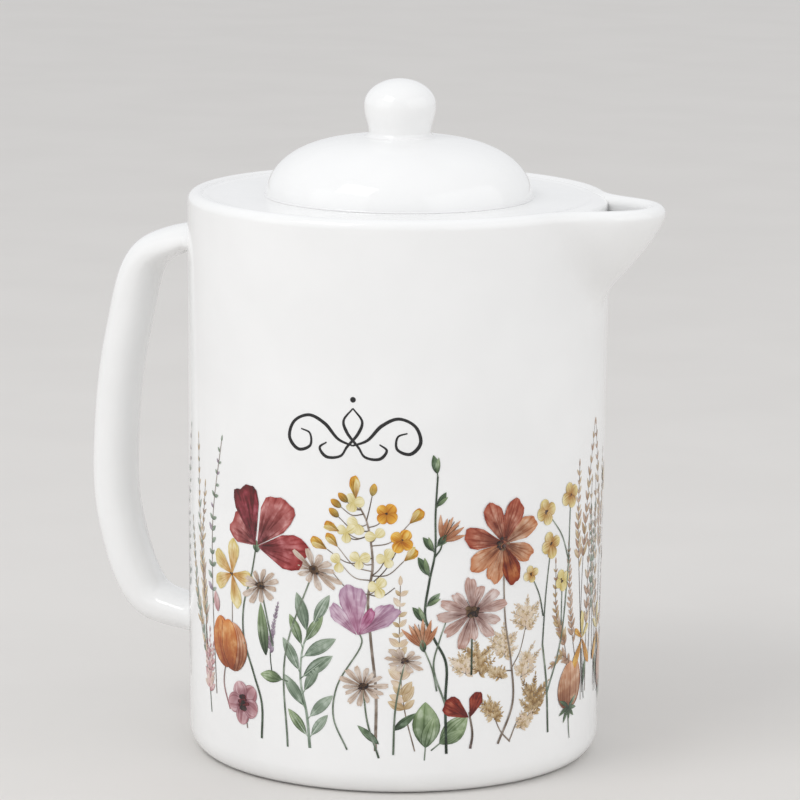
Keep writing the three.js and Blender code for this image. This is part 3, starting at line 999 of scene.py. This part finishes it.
def flourish(p, u, v):
    """A symmetrical pen scroll, thick where the pen would press."""
    scroll = [(0, -3.2), (4, -1.6), (8, 2.6), (12.6, 4.6), (17.2, 2.4), (18.6, -2.2), (15.8, -5.2),
              (12.2, -3.8), (12.4, -0.4), (15, 0.6)]
    tail = [(0, 7.2), (2.6, 3.6), (1.6, 0.4), (-1.6, -3.6), (-3.4, -6.2), (-7.6, -6.6), (-9.4, -4.2),
            (-7.4, -2.6)]
    pen = [(scroll, (0.5, 1.0, 0.8, 1.05, 0.7, 0.4)), (tail, (0.4, 0.9, 0.6, 0.9, 0.4))]
    for side in (-1, 1):
        for curl, widths in pen:
            p.stroke([(u + side * x, v + y) for x, y in curl], widths, (INK, INK))
    p.dab((u, v + 9.6), 0.8, 0.8, INK)


def grasses(p, u, blades):
    """Seeded blades, each with its (across, up) route from u and what feather is given."""
    for route, *look in blades:
        feather(p, [(u + across, up) for across, up in route], *look)


def left_grasses(p, u):
    """A loose bunch of pale grasses and a sage stalk."""
    grasses(p, u, [
        ([(9, 26), (6, 44), (2, 70), (1, 93)], 4, 30, [STRAW, SAGE], 0.3, 24, 0.3),
        ([(7, 26), (6, 46), (4, 62), (6, 80)], 4.4, 32, [STRAW, BEIGE], 0.3, 28, 0.25),
        ([(8, 28), (-1, 50), (-5, 68)], 4, 26, [STRAW, SAGE], 0.32, 26, 0.3),
        ([(10, 22), (4, 40), (-2, 52)], 3.4, 22, [SAGE, STRAW], 0.32, 26, 0.3),
        ([(13, 22), (11, 48), (11, 72), (16, 95)], 3.2, 22, [SAGE, LILAC, SAGE], 0.46, 48, 0.35),
    ])


def astilbe(p, u, v):
    """A short rose-coloured plume, with a smaller bud above it."""
    p.stroke([(u + 1, v - 13), (u, v - 6)], (0.4, 0.4), STEM)
    seeds = [ROSE, (ROSE[1], BEIGE[1])]
    for lean, top in ((-2, 9), (2, 9), (0, 13)):
        route = [(u, v - 7), (u + lean * 0.6, v), (u + lean, v + top - 3)]
        feather(p, route, 3.2, 15, seeds, 0.4, 34, 0.05, 0.3, ROSE)
    p.leaf((u + 5, v + 17), 105, 6, 3, ROSE)


def right_grasses(p, u):
    """A sheaf of wheat-like grasses."""
    grasses(p, u, [
        ([(-1, 20), (-2, 52), (0, 74), (5, 98)], 4.2, 34, [WHEAT, TAN], 0.34, 26, 0.5),
        ([(0, 22), (-3, 50), (-5, 70), (-5, 88)], 4, 30, [WHEAT, STRAW], 0.34, 28, 0.5),
        ([(-8, 20), (-11, 38), (-15, 46), (-16, 62)], 3.4, 32, [WHEAT, TAN], 0.36, 30, 0.35),
        ([(-2, 24), (-7, 40), (-9, 54), (-10, 66)], 3.2, 30, [WHEAT, WHEAT], 0.36, 30, 0.3),
        ([(2, 22), (2, 50), (4, 82)], 4, 34, [STRAW, WHEAT], 0.34, 26, 0.35),
        ([(-6, 30), (-12, 35), (-17, 33)], 3, 20, [WHEAT, TAN], 0.38, 34, 0.2),
        ([(4, 30), (5, 56), (4, 74)], 3.6, 28, [SAGE, BEIGE], 0.34, 28, 0.3),
    ])


def pale_fern(p, u):
    """One pale upright frond."""
    route = [(u, 13), (u - 3, 25), (u - 4.5, 40), (u - 4.5, 60)]
    feather(p, route, 4.8, 32, PALE_SEEDS, 0.52, 46, 0.35)


def plumes(p, width, branch, *heads):
    """Bushy heads about a bent branch."""
    p.stroke(branch, (width, 0.3), BROWN_STEM)
    for head in heads:
        plume(p, *head)


def low_leaves(p, u, v):
    """Two broad leaves near the ground."""
    broad_leaf(p, u, v, 86, 13, 5)
    broad_leaf(p, u + 4, v + 1, 38, 11, 4)


def slim_leaves(p, u, v):
    """Two slim leaves that point apart."""
    p.leaf((u, v), 38, 8, 2.4, DEEP_GREEN)
    p.leaf((u - 4, v - 4), 140, 8, 2.2, DEEP_GREEN)


def forked_flower(p, u, v, foot, size):
    """A little flower and the forked stem that its neighbours share."""
    x, y = foot
    p.stroke([(x + 3, 14), (x + 2, 28), foot], (0.7, 0.6), STEM)
    p.stroke([(x + 2, 25), (x + 8, y), (x + 11, y + 22)], (0.6, 0.5), STEM)
    small_flower(p, u, v, foot, size)


# each plant's layer, its drawing function, and what that function is given
PLANTS = {
    "grasses_by_handle": (0, left_grasses, -73),
    "grasses_at_side": (1, left_grasses, -96),
    "fern_pale": (0, pale_fern, 6),
    "plume_middle": (0, plumes, 0.4, [(34.8, 34), (29, 34.5), (24.5, 34.5)],
                     ((24.5, 34), -1.5, 9.5, 4.6, [TAN, TAN, STRAW]),
                     ((20.5, 34), -2, 6, 3, PALE_SEEDS, 10), ((32.5, 38), -0.5, 9, 4, PALE_SEEDS)),
    "plume_upper": (0, plumes, 0.4, [(35, 35), (37.5, 39), (39.5, 46)],
                    ((39.5, 45), 0.5, 9, 4.4, PALE_SEEDS), ((38, 31.5), 4.5, 9, 3.4, PALE_SEEDS, 14)),
    "plume_low": (1, plumes, 0.5, [(34.5, 14), (37.8, 20), (42.5, 22)],
                  ((42.5, 20.5), 1, 11, 4.6, [TAN, TAN, (TAN[0] * 0.8, STRAW[0])], 22),
                  ((38, 17), 4, 4, 2.4, PALE_SEEDS, 10)),
    "plume_side": (1, plumes, 0.5, [(34.7, 13.6), (31.5, 17), (29.5, 21)],
                   ((29.5, 20.5), -2, 6.5, 2.8, [TAN, STRAW], 11),
                   ((31.5, 32), -3.5, 3.5, 2.2, [TAN, STRAW], 9)),
    "sheaf_right": (0, right_grasses, 67),
    "umbel_gold": (1, umbel, -8, 84),
    "poppy_burgundy": (3, poppy, -40, 73),
    "star_yellow": (2, star_flower, -52, 58.2),
    "bud_orange": (3, round_bud, -55, 38.4),
    "astilbe_rose": (2, astilbe, -64, 29),
    "flower_mauve": (3, mauve_flower, -47, 22),
    "lavender_left": (1, lavender, -37, 38, 52),
    "leaf_left": (2, broad_leaf, -33, 31, 172, 7.5, 2.2),
    "sprig_sage": (1, leafy_sprig, -24, 52),
    "daisy_left": (3, daisy, -40.5, 56.7, 7, (-36, 40), 20, 0.75, 11),
    "daisy_upper": (3, daisy, -23, 63.3, 8, (-31, 12), -22, 0.6, 12, -5),
    "daisy_middle": (3, daisy, -8.6, 31.3, 6.6, (-4, 11), 5, 0.85, 14, -1),
    "daisy_small": (3, daisy, 3, 38.8, 5.6, (0, 12), -8, 0.6, 10, -1),
    "tulip_purple": (3, tulip, -10, 51.8),
    "stem_budded": (2, budded_stem, 14, 90.5),
    "lily_low": (3, lily, 8, 42.6, 7.4, 100, (12, 30)),
    "lily_upper": (3, lily, 13, 72.6, 6.8, 55, (11, 68)),
    "leaves_low": (1, low_leaves, 9, 14),
    "leaf_slim": (1, slim_leaves, 0, 19),
    "bud_red": (3, lobed_bud, 21, 26),
    "cosmos_pink": (4, daisy, 22, 51.8, 10.2, (22, 34), 10, 0.9, 12, 0, DUSTY_PINK, 0.56),
    "flower_rust": (4, broad_flower, 31.3, 70.5),
    "flower_yellow_1": (3, small_flower, 46.5, 77.6, (57, 62), 3.9),
    "flower_yellow_2": (3, small_flower, 57.3, 80.8, (57, 62), 4),
    "flower_yellow_3": (3, forked_flower, 48.7, 68, (46, 40), 3.9),
    "flower_yellow_4": (3, small_flower, 41, 60.5, (46, 48), 2.6),
    "flower_yellow_5": (3, small_flower, 54, 57, (54, 44), 3.4, PALE_GOLD),
    "bud_peach": (4, rose_bud, 58.5, 19.3),
    "flower_nodding": (4, nodding_flower, 66, 38),
}


def print_border(material, ink):
    """Every plant once on each side of the beak, and a pen scroll above them."""
    for number, (name, (layer, draw, *place)) in enumerate(PLANTS.items()):
        for mirrored, side in ((False, "front"), (True, "back")):
            plant = Plant(100 * number + mirrored, layer, mirrored)
            draw(plant, *place)
            ride(plant.build(f"{name}_{side}", material), "pot", slot="pot_glaze")
    for mirrored, side in ((False, "front"), (True, "back")):
        plant = Plant(7, 0, mirrored)
        flourish(plant, -12, 102)
        ride(plant.build(f"scroll_{side}", ink), "pot", slot="pot_glaze")


# ---- Stage

VIEW_AZIMUTH = 20.0  # the beak points a little towards the camera
VIEW_ELEVATION = 10.45
VIEW_DISTANCE = 1254.4
VIEW_TARGET = Vector((AXIS_X, 0, 100.9))
VIEW_LENS = 197.5
VIEW_ROLL = 0.606


def camera_axes(azimuth, elevation):
    """Right, up and backward directions of a camera that looks at the pot."""
    a, e = math.radians(azimuth), math.radians(elevation)
    back = Vector((math.sin(a) * math.cos(e), -math.cos(a) * math.cos(e), math.sin(e)))
    right = Vector((math.cos(a), math.sin(a), 0))
    return right, back.cross(right), back


def add_camera():
    """The camera that takes the photograph's view."""
    right, up, back = camera_axes(VIEW_AZIMUTH, VIEW_ELEVATION)
    camera = bpy.data.cameras.new("camera")
    camera.lens = VIEW_LENS
    camera.sensor_width = 36
    obj = add_object("camera", camera)
    aim = right * 0.86  # the pot stands a little left of the middle of the picture
    turn = Matrix((right, up, back)).transposed().to_4x4()
    roll = Matrix.Rotation(math.radians(VIEW_ROLL), 4, "Z")
    place = Matrix.Translation((VIEW_TARGET + aim + back * VIEW_DISTANCE) * MM)
    obj.matrix_world = place @ turn @ roll
    bpy.context.scene.camera = obj


def add_softbox(name, direction, distance, size, power):
    """A rectangular light. direction is (right, forward, up) as the camera sees the pot."""
    right, _, _ = camera_axes(VIEW_AZIMUTH, 0)
    forward = Vector((-right.y, right.x, 0))
    way = (right * direction[0] + forward * direction[1] + Vector((0, 0, direction[2]))).normalized()
    light = bpy.data.lights.new(name, "AREA")
    light.shape = "RECTANGLE"
    light.size, light.size_y = size
    light.energy = power
    obj = add_object(name, light)
    target = VIEW_TARGET * MM
    obj.location = target + way * distance
    obj.rotation_euler = (target - obj.location).to_track_quat("-Z", "Y").to_euler()


def add_stage():
    """Plain pale floor, even surrounding light and soft boxes."""
    material, tree, shader = new_material("floor")
    sand = ramp(tree, noise(tree, 14, 3),
                (0.35, (0.722, 0.702, 0.677)), (0.65, (0.738, 0.718, 0.693)))
    connect(tree, shader, {"Base Color": sand, "Roughness": 0.85})
    half = 9  # metres, so that the floor's edge stays out of sight
    corners = [(-half, -half, 0), (half, -half, 0), (half, half, 0), (-half, half, 0)]
    mesh = bpy.data.meshes.new("floor")
    mesh.from_pydata(corners, [], [(0, 1, 2, 3)])
    mesh.materials.append(material)
    add_object("floor", mesh)
    world = bpy.data.worlds.new("world")
    world.use_nodes = True
    connect(world.node_tree, world.node_tree.nodes["Background"],
            {"Color": (0.922, 0.93, 0.947, 1), "Strength": 0.86})
    bpy.context.scene.world = world
    add_softbox("key", (-0.49, -0.45, 0.76), 1.3, (0.58, 0.42), 3.3)
    add_softbox("left_fill", (-0.9, -0.6, 0.25), 2.2, (2.2, 2.2), 6.6)
    add_softbox("right_fill", (1.0, -0.5, 0.2), 2.4, (3.6, 3.2), 17.5)
    bpy.context.scene.view_settings.view_transform = "Standard"


# ---- Build

pot_glaze = glaze_material("pot_glaze")
lid_glaze = glaze_material("lid_glaze")
handle_glaze = glaze_material("handle_glaze")

ride(pot_shell(pot_glaze, biscuit_material()), "pot", "pot_body", "pouring_beak", slot="pot_glaze")
ride(pot_shoulder(pot_glaze), "pot", slot="pot_glaze")
ride(loop_handle(handle_glaze), "pot", "handle", slot="handle_glaze")
ride(lid_dome(lid_glaze), "lid", "lid_cover", slot="lid_glaze")
ride(button_knob(lid_glaze), "lid", "lid_knob", slot="knob_glaze")
print_border(print_material(), ink_material())

add_camera()
add_stage()
